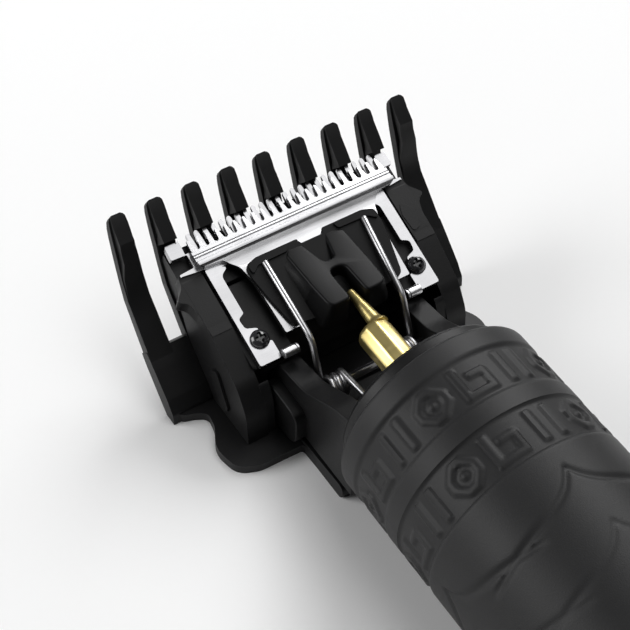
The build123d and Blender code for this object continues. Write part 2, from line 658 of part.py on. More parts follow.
with BuildPart() as guide_comb:
    # the sloping front wall, from the table up to the tips
    with BuildSketch(Plane.YZ):
        with BuildLine():
            Polyline(
                (59.4, 0), (64.0, 2.6), (67.6, 5.6), (71.0, 9.4), (74.6, 14.2), (77.4, 20.0),
                (half_length, 26.4), (79.8, 27.6), (79.0, 27.9), nose_top, nose_under,
                (75.8, nose_under[1] + 0.05), (75.7, 20.4), (73.4, 16.4), (69.4, 11.6),
                (65.6, 8.0), (60.4, 3.4), (58.6, comb_floor), (58.0, 0), close=True,
            )
        make_face()
    extrude(amount=comb_half_width, both=True)
    # the cradle under the blades, and the step walls at its sides
    with BuildSketch(blade_side):
        with BuildLine():
            Polyline(
                (cradle_back, cradle_top), (4.4, cradle_top), (5.2, -3.4), (0.6, -8.0),
                (-6.0, -9.0), (cradle_back, cradle_bottom), close=True,
            )
        make_face()
    extrude(amount=cradle_half_width, both=True)
    with BuildSketch(blade_side):
        with BuildLine():
            Polyline(
                (platform_front + 0.5, 0), (platform_front + 0.5, pocket_floor),
                (cradle_back - 3, pocket_floor), (cradle_back - 3, 0), close=True,
            )
        make_face()
    extrude(amount=platform_half_width + clearance + 0.1, both=True, mode=Mode.SUBTRACT)
    for side in (-1, 1):
        with BuildSketch(Plane.YZ.offset(side * cradle_half_width)):
            with BuildLine():
                Polyline(
                    (49.5, 0), (60.0, 0), (66.0, 8.0), (70.0, 17.0), (58.0, 14.6), (53.0, 11.6),
                    (50.5, 7.6), close=True,
                )
            make_face()
        extrude(amount=-side * 2.2)
    # the base plate with its rounded lobes
    with BuildSketch(Plane.XY):
        with BuildLine():
            for side in (-1, 1):
                Polyline(
                    (0, 62.0), (side * 26.0, 62.0), (side * 26.0, 60.0), (side * 24.6, 58.7),
                    (side * 22.4, 58.3), (side * 22.6, 56.6), (side * 24.4, 52.4), (side * 24.2, 49.4),
                    (side * 22.6, 46.8), (side * 19.6, 45.6), (side * 13.0, 45.4), (side * 12.4, 35.2),
                    (side * 9.6, 35.2), (side * 9.4, 45.4), (0, 45.4),
                )
        make_face()
    extrude(amount=comb_floor)
    # what the table cuts off, and the gaps between the teeth
    with BuildSketch(Plane.XY):
        with Locations((0, 60)):
            Rectangle(80, 60)
    extrude(amount=-10, mode=Mode.SUBTRACT)
    with BuildSketch(Plane.YZ):
        with BuildLine():
            Polyline(
                (slot_bottom[0] - 0.9, slot_bottom[1] + 4.4), (slot_bottom[0], slot_bottom[1] - 5.0),
                (half_length + 5, slot_bottom[1] - 5.0), (half_length + 5, 40), (70.0, 40), close=True,
            )
        make_face()
    gap_solid = extrude(amount=tooth_gap / 2, both=True, mode=Mode.PRIVATE)
    for gap in range(comb_teeth - 1):
        add(Pos((gap - (comb_teeth - 2) / 2) * comb_pitch, 0, 0) * gap_solid, mode=Mode.SUBTRACT)
save(guide_comb.part, "guide_comb")
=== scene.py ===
"""Builds the finished look of a cordless T-blade trimmer with its guide comb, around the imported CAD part.

Every piece is modelled in millimetres, in the part's own frame: the body lies along Y with the blades
towards +Y, X runs along the cutting edge and Z = 0 is the surface that the trimmer lies on.
"""

import json
from math import cos, exp, pi, radians, sin, tan

import bmesh
import bpy
from bpy.props import FloatProperty, FloatVectorProperty, IntProperty, PointerProperty
from mathutils import Matrix, Vector


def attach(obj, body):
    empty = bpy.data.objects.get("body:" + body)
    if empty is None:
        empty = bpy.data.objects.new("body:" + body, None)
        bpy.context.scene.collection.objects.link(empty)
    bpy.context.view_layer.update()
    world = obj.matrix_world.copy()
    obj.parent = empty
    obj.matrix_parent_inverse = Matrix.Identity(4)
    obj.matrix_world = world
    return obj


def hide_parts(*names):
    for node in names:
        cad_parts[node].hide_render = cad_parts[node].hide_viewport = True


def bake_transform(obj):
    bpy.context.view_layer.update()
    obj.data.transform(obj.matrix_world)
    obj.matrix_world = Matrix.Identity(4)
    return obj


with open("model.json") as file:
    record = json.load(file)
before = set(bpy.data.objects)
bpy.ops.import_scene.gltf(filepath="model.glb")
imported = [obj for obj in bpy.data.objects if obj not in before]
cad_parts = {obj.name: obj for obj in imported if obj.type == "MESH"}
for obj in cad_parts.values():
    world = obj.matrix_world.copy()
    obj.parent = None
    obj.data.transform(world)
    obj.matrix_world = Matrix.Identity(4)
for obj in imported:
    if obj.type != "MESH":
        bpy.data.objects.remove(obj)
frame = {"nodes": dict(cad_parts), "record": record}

bl_info = {
    "name": "T-blade trimmer",
    "version": (1, 0, 0),
    "blender": (4, 5, 0),
    "location": "3D View > Sidebar > Trimmer",
    "description": "Models a cordless T-blade trimmer and its guide comb piece by piece",
    "category": "Add Mesh",
}

# ---------------------------------------------------------------- sizes that several pieces share
MM = 0.001
BODY_RADIUS = 16.25
AXIS_Z = BODY_RADIUS
BLADE_ANGLE = radians(20.0)
CAM_Z = 17.55
CAM_THROW = 1.35
CAM_REST = radians(50.0)
BLADE_SHIFT = CAM_THROW * cos(CAM_REST)
COMB_HALF_WIDTH = 27.4

# Flat outlines are drawn on one of these planes and pushed along its third direction.
BLADE_PLANE = Matrix.Translation((0, 69.8, 20.4)) @ Matrix.Rotation(BLADE_ANGLE, 4, "X")
SIDE = Matrix(((0, 0, 1, 0), (1, 0, 0, 0), (0, 1, 0, 0), (0, 0, 0, 1)))
FLOOR_PLAN = Matrix.Identity(4)


def on_blade(x, s, t):
    """A point from X, the distance s towards the teeth and the height t above the rubbing face."""
    return BLADE_PLANE @ Vector((x, s, t))


def blade_height(y, t):
    """The height Z, at this Y, of the plane that lies t above the rubbing face."""
    return 20.4 + (y - 69.8) * tan(BLADE_ANGLE) + t / cos(BLADE_ANGLE)


# ---------------------------------------------------------------- outlines and solids
def arc(centre, radius, start, end, steps):
    """Points along a circular arc, its angles in degrees."""
    turns = [radians(start + (end - start) * i / steps) for i in range(steps + 1)]
    return [(centre[0] + radius * cos(a), centre[1] + radius * sin(a)) for a in turns]


def rounded(corners, radii, steps=4):
    """The outline with its corners rounded; radii is one number for all, or one for each corner."""
    if not isinstance(radii, (list, tuple)):
        radii = [radii] * len(corners)
    points = []
    for i, radius in enumerate(radii):
        here = Vector(corners[i])
        before = Vector(corners[i - 1]) - here
        after = Vector(corners[(i + 1) % len(corners)]) - here
        if radius <= 0:
            points.append(tuple(here))
            continue
        half_turn = before.angle(after) / 2
        reach = min(radius / tan(half_turn), before.length * 0.49, after.length * 0.49)
        start, end = here + before.normalized() * reach, here + after.normalized() * reach
        for step in range(steps + 1):
            u = step / steps
            points.append(tuple(start * (1 - u) ** 2 + here * 2 * u * (1 - u) + end * u**2))
    return points


def outline_area(outline):
    """Twice the area inside the outline; positive when it runs anticlockwise."""
    return sum(outline[i - 1][0] * b - a * outline[i - 1][1] for i, (a, b) in enumerate(outline))


def inset(outline, depth):
    """The anticlockwise outline moved inwards by this depth."""
    moved = []
    for i, here in enumerate(outline):
        before, after = Vector(outline[i - 1]), Vector(outline[(i + 1) % len(outline)])
        along = (after - before).normalized()
        moved.append((here[0] - along.y * depth, here[1] + along.x * depth))
    return moved


def mirrored(outline):
    """The outline on the other side of X = 0."""
    return [(-a, b) for a, b in reversed(outline)]


def slab(bm, outline, plane, start, end, holes=()):
    """A closed plate between two heights over a plane. Returns the vertices of its far side."""
    edges = []
    for loop in (outline, *holes):
        verts = [bm.verts.new(plane @ Vector((a, b, start))) for a, b in loop]
        edges += [bm.edges.new((verts[i - 1], verts[i])) for i in range(len(verts))]
    if holes:
        filled = bmesh.ops.triangle_fill(bm, edges=edges, use_beauty=True)["geom"]
        faces = [part for part in filled if isinstance(part, bmesh.types.BMFace)]
    else:
        faces = [bm.faces.new(verts)]
    made = bmesh.ops.extrude_face_region(bm, geom=faces)["geom"]
    far_side = [part for part in made if isinstance(part, bmesh.types.BMVert)]
    bmesh.ops.translate(bm, verts=far_side, vec=plane.to_3x3() @ Vector((0, 0, end - start)))
    return far_side


def bar(bm, sections):
    """A closed bar through these cross-sections, each a list of the same number of points."""
    rings = [[bm.verts.new(point) for point in section] for section in sections]
    for ring in rings:
        for i in range(len(ring)):
            bm.edges.new((ring[i - 1], ring[i]))
    for near, far in zip(rings, rings[1:]):
        for i in range(len(near)):
            bm.faces.new((near[i - 1], near[i], far[i], far[i - 1]))
    bm.faces.new(rings[0])
    bm.faces.new(rings[-1])


def turned(bm, profile, centre, along="Y", steps=48):
    """A closed round solid: the profile's (distance along the axis, radius) points spun once round."""
    axis = Vector((0, 1, 0)) if along == "Y" else Vector((1, 0, 0))
    centre = Vector(centre)
    verts = [bm.verts.new(centre + axis * a + Vector((0, 0, r))) for a, r in profile]
    edges = [bm.edges.new(pair) for pair in zip(verts, verts[1:])]
    bmesh.ops.spin(bm, geom=verts + edges, cent=centre, axis=axis, dvec=(0, 0, 0), angle=2 * pi,
                   steps=steps, use_merge=True)
    bmesh.ops.remove_doubles(bm, verts=bm.verts, dist=1e-4)


def finish_piece(name, bm, finish, body, stands_for=(), bevel=0.0, segments=2, sharp=35.0):
    """Turns a mesh made in millimetres into a finished object that rides on its CAD body."""
    bmesh.ops.recalc_face_normals(bm, faces=bm.faces)
    bmesh.ops.scale(bm, vec=(MM, MM, MM), verts=bm.verts)
    mesh = bpy.data.meshes.new(name)
    bm.to_mesh(mesh)
    bm.free()
    mesh.polygons.foreach_set("use_smooth", [True] * len(mesh.polygons))
    mesh.set_sharp_from_angle(angle=radians(sharp))
    piece = bpy.data.objects.new(name, mesh)
    bpy.context.scene.collection.objects.link(piece)
    mesh.materials.append(material(finish))
    if bevel:
        edge = piece.modifiers.new("worn edges", "BEVEL")
        edge.width = bevel * MM
        edge.segments = segments
        edge.limit_method = "ANGLE"
        edge.angle_limit = radians(30)
        edge.harden_normals = True
    if body:
        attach(piece, body)
    if stands_for:
        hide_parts(*stands_for)
    return piece


# ---------------------------------------------------------------- shader maths
class Value:
    """A shader socket that takes Python's arithmetic and adds one Math node for each step."""

    def __init__(self, tree, socket):
        self.tree = tree
        self.socket = socket

    def maths(self, operation, *given):
        node = self.tree.nodes.new("ShaderNodeMath")
        node.operation = operation
        for socket, value in zip(node.inputs, given):
            if isinstance(value, Value):
                self.tree.links.new(value.socket, socket)
            else:
                socket.default_value = value
        return Value(self.tree, node.outputs[0])

    def __add__(self, other):
        return self.maths("ADD", self, other)

    def __sub__(self, other):
        return self.maths("SUBTRACT", self, other)

    def __rsub__(self, other):
        return self.maths("SUBTRACT", other, self)

    def __mul__(self, other):
        return self.maths("MULTIPLY", self, other)

    __radd__ = __add__
    __rmul__ = __mul__


class Recipe:
    """One material's nodes, ending in a Principled shader."""

    def __init__(self, name):
        self.material = bpy.data.materials.new(name)
        self.material.use_nodes = True
        self.tree = self.material.node_tree
        self.shader = self.tree.nodes["Principled BSDF"]

    def node(self, kind, settings=None, inputs=None):
        """Any other node: its settings are set first, then the values or links of its sockets."""
        node = self.tree.nodes.new(kind)
        for setting, value in (settings or {}).items():
            setattr(node, setting, value)
        for socket, value in (inputs or {}).items():
            self.set(node.inputs[socket], value)
        return node

    def set(self, socket, value):
        if isinstance(value, Value):
            value = value.socket
        if isinstance(value, bpy.types.NodeSocket):
            self.tree.links.new(value, socket)
        else:
            socket.default_value = value

    def value(self, node, output="Fac"):
        return Value(self.tree, node.outputs[output])

    def stretched(self, stretch, turn=0.0):
        """Object coordinates, stretched, after a turn about X."""
        place = self.node("ShaderNodeTexCoord").outputs["Object"]
        turned_place = self.node("ShaderNodeMapping", {}, {"Vector": place, "Rotation": (turn, 0, 0)})
        return self.node("ShaderNodeMapping", {}, {"Vector": turned_place.outputs[0], "Scale": stretch})

    def noise(self, scale, detail=3.0, stretch=(1, 1, 1), turn=0.0):
        place = self.stretched(stretch, turn).outputs[0]
        made = self.node("ShaderNodeTexNoise", {}, {"Vector": place, "Scale": scale, "Detail": detail})
        return self.value(made)

    def mix(self, factor, first, second):
        made = self.node("ShaderNodeMix", {"data_type": "RGBA"})
        for socket, value in ((made.inputs[0], factor), (made.inputs[6], first), (made.inputs[7], second)):
            self.set(socket, value)
        return made.outputs[2]

    def bump(self, height, distance, strength=1.0):
        made = self.node(
            "ShaderNodeBump", {}, {"Height": height, "Distance": distance, "Strength": strength}
        )
        self.set(self.shader.inputs["Normal"], made.outputs[0])


def shade(colour, amount):
    """The colour made lighter or darker, with its alpha."""
    return (*[min(1.0, channel * amount) for channel in colour], 1.0)


def moulded(recipe, colour, roughness, grain, depth, sheen=0.25):
    """Moulded plastic or rubber: a fine spark-eroded grain and faint handling marks."""
    fine = recipe.noise(grain)
    broad = recipe.noise(140, 4)
    recipe.set(recipe.shader.inputs["Base Color"],
               recipe.mix(broad, shade(colour, 0.82), shade(colour, 1.2)))
    recipe.set(recipe.shader.inputs["Roughness"], fine * 0.12 + broad * 0.1 + (roughness - 0.11))
    recipe.shader.inputs["Specular IOR Level"].default_value = sheen
    recipe.bump(fine, depth)


def ground(recipe, colour, roughness, stretch, turn, depth, smudge=0.08):
    """Ground or drawn metal: long fine scratches along one direction."""
    scratches = recipe.noise(900, 2, stretch, turn)
    clouds = recipe.noise(130, 3)
    recipe.shader.inputs["Metallic"].default_value = 1.0
    recipe.set(recipe.shader.inputs["Base Color"],
               recipe.mix(clouds, shade(colour, 1 - smudge), shade(colour, 1 + smudge)))
    recipe.set(recipe.shader.inputs["Roughness"], scratches * 0.16 + clouds * 0.06 + (roughness - 0.11))
    recipe.bump(scratches, depth)


def speckled(recipe, first, second, roughness, metallic, grain):
    """Hidden parts: two close shades in a fine speckle."""
    spots = recipe.noise(grain, 5)
    recipe.set(recipe.shader.inputs["Base Color"], recipe.mix(spots, (*first, 1), (*second, 1)))
    recipe.set(recipe.shader.inputs["Roughness"], spots * 0.15 + (roughness - 0.08))
    recipe.shader.inputs["Metallic"].default_value = metallic
    recipe.bump(spots, 1e-5)


def table_top(recipe, colour):
    """A plain matt sheet with a barely visible tooth."""
    grain = recipe.noise(900)
    recipe.set(recipe.shader.inputs["Base Color"],
               recipe.mix(grain, shade(colour, 0.995), shade(colour, 1.005)))
    recipe.shader.inputs["Roughness"].default_value = 0.8
    recipe.shader.inputs["Specular IOR Level"].default_value = 0.2


def glossy(recipe, colour, roughness):
    """Blackened steel for the screws, painted shade for the spring pin, and a clear lens: smooth, with a
    light cloudiness.
    """
    clouds = recipe.noise(400, 3)
    recipe.set(recipe.shader.inputs["Base Color"],
               recipe.mix(clouds, shade(colour, 0.9), shade(colour, 1.15)))
    recipe.set(recipe.shader.inputs["Roughness"], clouds * 0.1 + (roughness - 0.05))
    recipe.shader.inputs["Coat Weight"].default_value = 0.4


FINISHES = {
    "shell_plastic": lambda r: moulded(r, colours().body, 0.5, 5200, 2.2e-5),
    "head_plastic": lambda r: moulded(r, colours().head, 0.44, 4200, 1.4e-5),
    "comb_plastic": lambda r: moulded(r, colours().comb, 0.46, 4200, 1.6e-5),
    "follower_plastic": lambda r: moulded(r, colours().head, 0.42, 4200, 6e-6, 0.14),
    "button_plastic": lambda r: moulded(r, colours().head, 0.4, 4200, 1.4e-5),
    "chassis_plastic": lambda r: moulded(r, (0.08, 0.08, 0.085), 0.5, 3000, 1.2e-5),
    "seal_rubber": lambda r: moulded(r, (0.015, 0.015, 0.015), 0.7, 2500, 1.5e-5),
    "blade_steel": lambda r: ground(r, colours().steel, 0.24, (0.25, 3.0, 3.0), -BLADE_ANGLE, 3e-6, 0.3),
    "spring_steel": lambda r: ground(r, colours().steel, 0.36, (0.3, 0.3, 0.3), 0, 2e-7),
    "plain_steel": lambda r: ground(r, (0.62, 0.62, 0.63), 0.3, (1, 0.2, 1), 0, 4e-6),
    "motor_steel": lambda r: ground(r, (0.5, 0.51, 0.52), 0.35, (1, 0.2, 1), 0, 4e-6),
    "hub_brass": lambda r: ground(r, colours().brass, 0.34, (0.4, 3.0, 0.4), 0, 8e-7),
    "bronze": lambda r: ground(r, (0.55, 0.35, 0.18), 0.4, (1, 1, 1), 0, 4e-6),
    "nickel": lambda r: ground(r, (0.62, 0.6, 0.56), 0.3, (1, 1, 1), 0, 3e-6),
    # Blackened steel for the screws; the spring pin takes it too, as painted shade.
    "dark_steel": lambda r: glossy(r, (0.02, 0.02, 0.022), 0.18),
    "lens": lambda r: glossy(r, (0.2, 0.03, 0.03), 0.15),
    "magnet": lambda r: speckled(r, (0.03, 0.03, 0.03), (0.06, 0.06, 0.06), 0.6, 0.2, 900),
    "board": lambda r: speckled(r, (0.01, 0.07, 0.03), (0.02, 0.11, 0.05), 0.45, 0.0, 600),
    "cell_wrap": lambda r: speckled(r, (0.02, 0.09, 0.3), (0.03, 0.12, 0.36), 0.35, 0.0, 300),
    "floor": lambda r: table_top(r, colours().floor),
    "socket_metal": lambda r: speckled(r, (0.4, 0.4, 0.41), (0.5, 0.5, 0.5), 0.35, 1.0, 700),
}


def material(finish):
    """The material of this finish, made the first time that it is asked for."""
    name = finish.replace("_", " ")
    if name not in bpy.data.materials:
        FINISHES[finish](Recipe(name))
    return bpy.data.materials[name]


# ---------------------------------------------------------------- settings
class TrimmerColours(bpy.types.PropertyGroup):
    """The colours of the parts that show."""

    body: FloatVectorProperty(name="Body", description="Colour of the body shell", subtype="COLOR",
                              default=(0.016, 0.016, 0.0165), min=0, max=1)
    head: FloatVectorProperty(name="Head", description="Colour of the head and follower",
                              subtype="COLOR", default=(0.004, 0.004, 0.0043), min=0, max=1)
    comb: FloatVectorProperty(name="Comb", description="Colour of the guide comb", subtype="COLOR",
                              default=(0.007, 0.007, 0.0074), min=0, max=1)
    steel: FloatVectorProperty(name="Steel", description="Colour of the ground blades",
                               subtype="COLOR", default=(0.47, 0.47, 0.48), min=0, max=1)
    brass: FloatVectorProperty(name="Brass", description="Colour of the eccentric hub",
                               subtype="COLOR", default=(0.82, 0.67, 0.28), min=0, max=1)
    floor: FloatVectorProperty(name="Floor", description="Colour of the surface it lies on",
                               subtype="COLOR", default=(0.95, 0.95, 0.95), min=0, max=1)


class TrimmerSizes(bpy.types.PropertyGroup):
    """Sizes that can be changed without touching the code."""

    comb_pitch: FloatProperty(name="Comb pitch", description="Distance between comb teeth, in mm",
                              default=6.27, min=5, max=7)
    fixed_pitch: FloatProperty(name="Fixed tooth pitch", default=1.43, min=1.0, max=2.0,
                               description="Distance between the fixed blade's teeth, in mm")
    moving_teeth: IntProperty(name="Moving teeth", description="Number of teeth on the moving blade",
                              default=22, min=12, max=28)
    wire: FloatProperty(name="Spring wire", description="Diameter of the spring's wire, in mm",
                        default=1.0, min=0.6, max=1.4)
    relief: FloatProperty(name="Relief", description="Depth of the body's moulded pattern, in mm",
                          default=0.3, min=0, max=0.6)


def colours():
    """The scene's colour settings."""
    return bpy.context.scene.trimmer_colours


def sizes():
    """The scene's size settings."""
    return bpy.context.scene.trimmer_sizes


# ---------------------------------------------------------------- guide comb
TOOTH_HALF = 1.75
SLOT_FRONT, SLOT_BACK = (69.25, 7.55), (67.5, 9.25)      # the slots' ends, as (Y, Z)
# Stations along a tooth: its front, its narrow back, the rib's crest, and how far the rib has grown.
TOOTH_STATIONS = (
    ((68.35, 6.45), (66.3, 8.2), (66.3, 8.2)),
    ((70.5, 8.95), (68.7, 10.55), (68.7, 10.55)),
    ((72.8, 11.7), (71.0, 13.0), (71.0, 13.0)),
    ((74.9, 14.2), (73.3, 15.3), (73.3, 15.3)),
    ((76.4, 17.5), (75.0, 18.4), (75.0, 18.4)),
    ((77.6, 20.2), (76.1, 21.3), (76.0, 21.4)),
    ((78.4, 22.0), (76.9, 22.9), (74.5, 23.0)),
    ((79.15, 23.9), (77.8, 24.7), (76.1, 24.6)),
    ((79.7, 25.4), (78.55, 26.1), (77.7, 26.1)),
    ((79.93, 26.3), (79.15, 27.15), (78.9, 27.25)),
    ((79.95, 26.65), (79.42, 27.42), (79.27, 27.5)),
    ((79.95, 26.9), (79.6, 27.6), (79.5, 27.7)),
)
RAIL_INNER, RAIL_OUTER = 16.7, 20.4
STEP_PROFILE = ((49.5, 0.4), (61.0, 0.4), (66.2, 6.6), (70.3, 15.4), (70.4, 18.6), (69.2, 19.83),
                (60.6, 16.7), (57.6, 14.7), (53.0, 11.6), (50.4, 7.6))


def comb_tooth(bm, centre, outer):
    """One tooth: an arm with a flat front, and the narrower rib on its back that ends in the nose."""
    last = len(TOOTH_STATIONS) - 1
    sections = []
    for step, (front, back, crest) in enumerate(TOOTH_STATIONS):
        along = step / last
        narrowing = {last - 3: 0.02, last - 2: 0.1, last - 1: 0.28, last: 0.62}.get(step, 0.0)
        half = TOOTH_HALF - 0.3 * along**2 - narrowing
        shoulder = half - 0.1
        rib = (1.12 if step > (4 if outer else 5) else 1.4) - narrowing * 0.8
        spread = 0.0
        if outer:
            spread = (COMB_HALF_WIDTH - 0.03 - abs(centre) - TOOTH_HALF) * max(0.0, 1 - along * 1.1)
            crest = {4: (74.6, 18.9), 5: (74.9, 21.6), 6: (75.7, 23.1)}.get(step, crest)
        left, right = (spread, 0.0) if centre < 0 else (0.0, spread)
        fore = tuple(f + (b - f) * 0.25 for f, b in zip(front, back))
        sections.append([
            (centre - half * 0.86 - left, *front), (centre + half * 0.86 + right, *front),
            (centre + half + right, *fore), (centre + shoulder + right, *back),
            (centre + rib + 0.06 + right, *back), (centre + rib + right, *crest),
            (centre - rib - left, *crest), (centre - rib - 0.06 - left, *back),
            (centre - shoulder - left, *back), (centre - half - left, *fore),
        ])
    bar(bm, sections)


def comb_front_wall(bm):
    """The sloping wall below the teeth, the full width of the comb."""
    wall = [(62.0, 0.05), (64.4, 2.4), (67.6, 5.65), SLOT_FRONT, SLOT_BACK, (65.2, 7.25), (61.6, 4.0),
            (60.0, 2.0), (59.7, 0.05)]
    slab(bm, rounded(wall, [0, 3, 3, 0.4, 0.4, 3, 3, 1, 0]), SIDE, -COMB_HALF_WIDTH, COMB_HALF_WIDTH)


def comb_base(bm):
    """The thin plate on the table, with a lobe and a notch at each side."""
    right = rounded(
        [(26.9, 60.9), (26.0, 59.5), (24.2, 58.9), (22.4, 57.9), (22.9, 55.2), (24.9, 51.6),
         (23.9, 46.9), (20.6, 45.6), (13.2, 45.4), (12.9, 35.0), (10.2, 35.0), (9.6, 45.4)],
        [0.8, 1.5, 1.5, 1.8, 4, 5, 4, 4, 0.6, 1.3, 1.3, 0.8], 6,
    )
    outline = [(27.2, 62.0)] + right + mirrored(right) + [(-27.2, 62.0)]
    slab(bm, outline, FLOOR_PLAN, 0.0, 1.7)
    for side in (-1, 1):
        tail = rounded([(46.5, 0.02), (34.9, 0.02), (34.9, 2.9), (46.5, 2.3)], [0, 1.2, 1.2, 0])
        slab(bm, tail, SIDE, side * 10.3, side * 13.1)


def comb_rail(bm, side):
    """The raised rail beside the blade, its step wall down to the base with a pad on it, a heel, and a small
    mark on the right rail.
    """
    rail = [(RAIL_INNER + 0.1, 0.2), (20.3, 0.2), (20.5, -1.6), (22.4, -3.6), (20.9, -4.3), (20.35, -6.4),
            (20.2, -10.5), (RAIL_INNER + 0.1, -10.5)]
    rail = rounded(rail, [0.2, 0.6, 2.5, 0.7, 2.2, 3, 0, 0], 6)
    outline = rail if side > 0 else mirrored(rail)
    slab(bm, outline, BLADE_PLANE, -0.36, -3.2)
    wall = rounded(STEP_PROFILE, [0.5, 0, 0.5, 1, 0.5, 0.8, 30, 20, 6, 6], 8)
    pad = rounded([(60.3, 8.8), (58.3, 10.4), (54.7, 4.4), (57.0, 2.6)], 1.2, 6)
    slab(bm, wall, SIDE, side * RAIL_INNER, side * (RAIL_OUTER - 0.12))
    slab(bm, pad, SIDE, side * (RAIL_OUTER - 0.5), side * (RAIL_OUTER + 0.35))
    if side > 0:
        mark = rounded([(17.6, -3.4), (19.3, -5.4), (18.6, -8.4), (17.2, -8.8), (16.9, -5.6)], 0.5)
        slab(bm, mark, BLADE_PLANE, -0.5, -0.22)
    heel = rounded([(49.8, 0.5), (52.9, 0.5), (52.9, 12.0), (50.9, 8.1)], [0, 0, 0.6, 2])
    slab(bm, heel, SIDE, side * 15.2, side * (RAIL_INNER + 0.2))


def comb_cross_pieces(bm):
    """The bridge under the blades, between the rails, and the floor plate behind it."""
    bridge = [(4.6, -1.55), (4.4, -3.6), (0.6, -8.6), (-3.6, -9.2), (-3.6, -1.55)]
    slab(bm, rounded(bridge, 0.3), BLADE_PLANE @ SIDE, -RAIL_OUTER + 0.3, RAIL_OUTER - 0.3)
    floor = [(-3.4, -4.05), (-3.4, -6.6), (-11.6, -6.3), (-11.8, -4.05)]
    slab(bm, rounded(floor, 0.3), BLADE_PLANE @ SIDE, -RAIL_OUTER + 0.5, RAIL_OUTER - 0.5)


def build_comb():
    """The guide comb: front wall, base, nine teeth, two rails and the pieces between them."""
    bm = bmesh.new()
    comb_front_wall(bm)
    comb_base(bm)
    for tooth in range(9):
        comb_tooth(bm, (tooth - 4) * sizes().comb_pitch, outer=tooth in (0, 8))
    for side in (-1, 1):
        comb_rail(bm, side)
    comb_cross_pieces(bm)
    finish_piece("guide-comb", bm, "comb_plastic", "comb", ["guide_comb"], bevel=0.28, segments=3)


# ---------------------------------------------------------------- blades
FIXED_TIP, FIXED_ROOT, BLADE_THICKNESS = 5.65, 2.6, 1.2
MOVING_TIP, MOVING_ROOT = 4.5, 2.45
LEG_INNER, LEG_OUTER, FOOT_INNER = 14.3, 16.2, 12.5
SCREW_X, SCREW_S = 14.2, -14.0
SCREW_RADIUS, SCREW_RINGS, SCREW_STEPS = 1.5, 12, 48
RECESS_HALF, RECESS_REACH, RECESS_FLOOR = 0.24, 0.58, 0.45


def tooth_row(start_x, pitch, count, root, tip, tip_half, base_half, steps=4):
    """The teeth's front outline from +X to -X, each with a rounded tip and a rounded gap after it."""
    points = []
    for i in range(count):
        x = start_x - i * pitch
        points.append((x + base_half, root + 0.15))
        points += arc((x, tip - tip_half), tip_half, 0, 180, steps)
        points.append((x - base_half, root + 0.15))
        if i < count - 1:
            points.append((x - pitch / 2, root - 0.1))
    return points


def build_fixed_blade():
    """The wide plate under the cutting edge, with a notched tab at each end and two long legs."""
    bm = bmesh.new()
    pitch = sizes().fixed_pitch
    count = 25
    first = (count - 1) / 2 * pitch
    end = [(17.9, 2.5), (18.1, 5.1), (19.9, 5.1), (20.0, 2.9), (19.9, 2.7), (17.4, 2.6), (17.4, 0.3),
           (20.0, 0.1), (20.0, -0.5)]
    end = rounded(end, [0, 0.3, 0.3, 0, 0.2, 0.3, 0.3, 0.2, 0.3], 3)
    leg = [(LEG_OUTER, -0.55), (LEG_OUTER, -17.8), (FOOT_INNER, -17.8), (FOOT_INNER, -14.9),
           (13.3, -14.6), (13.6, -12.2), (15.3, -11.6), (15.5, -9.9), (LEG_INNER, -9.3), (LEG_INNER, -2.6),
           (12.6, -1.6)]
    leg = rounded(leg, [0.4, 0.4, 0.4, 0.3, 0.5, 0.5, 0.7, 0.7, 0.4, 1.2, 0.5], 4)
    outline = tooth_row(first, pitch, count, FIXED_ROOT, FIXED_TIP, 0.34, 0.46)
    right = list(reversed(end + leg))
    outline = right + outline + mirrored(right)
    hole = arc((SCREW_X, SCREW_S), 1.0, 0, 330, 11)
    slab(bm, outline, BLADE_PLANE, -BLADE_THICKNESS, 0.0, [hole, mirrored(hole)])
    to_blade = BLADE_PLANE.inverted()
    for vert in bm.verts:
        x, s, t = to_blade @ vert.co
        if t < -0.6 and s > FIXED_ROOT - 0.3 and abs(x) < first + 1:
            thin = (s - FIXED_ROOT) / (FIXED_TIP - FIXED_ROOT)
            vert.co = on_blade(x, s, -BLADE_THICKNESS + 0.85 * thin)
    finish_piece("fixed-blade", bm, "blade_steel", "trimmer", ["fixed_blade"], bevel=0.07)


def moving_top(s):
    """The ground top of the moving blade: teeth, strip with two grooves, lip, then the back."""
    profile = ((4.6, 0.42), (2.4, 0.85), (1.72, 0.98), (1.6, 0.9), (1.48, 0.98), (1.28, 1.0), (1.16, 0.92),
               (1.04, 1.02), (0.62, 1.08), (0.5, 1.3), (0.1, 1.36), (-0.12, 1.3), (-0.5, 0.98),
               (-1.6, 0.62), (-2.6, 0.75), (-3.2, 0.9), (-30, 0.9))
    for (s1, t1), (s2, t2) in zip(profile, profile[1:]):
        if s >= s2:
            return t2 + (t1 - t2) * (s - s2) / (s1 - s2)
    return profile[-1][1]


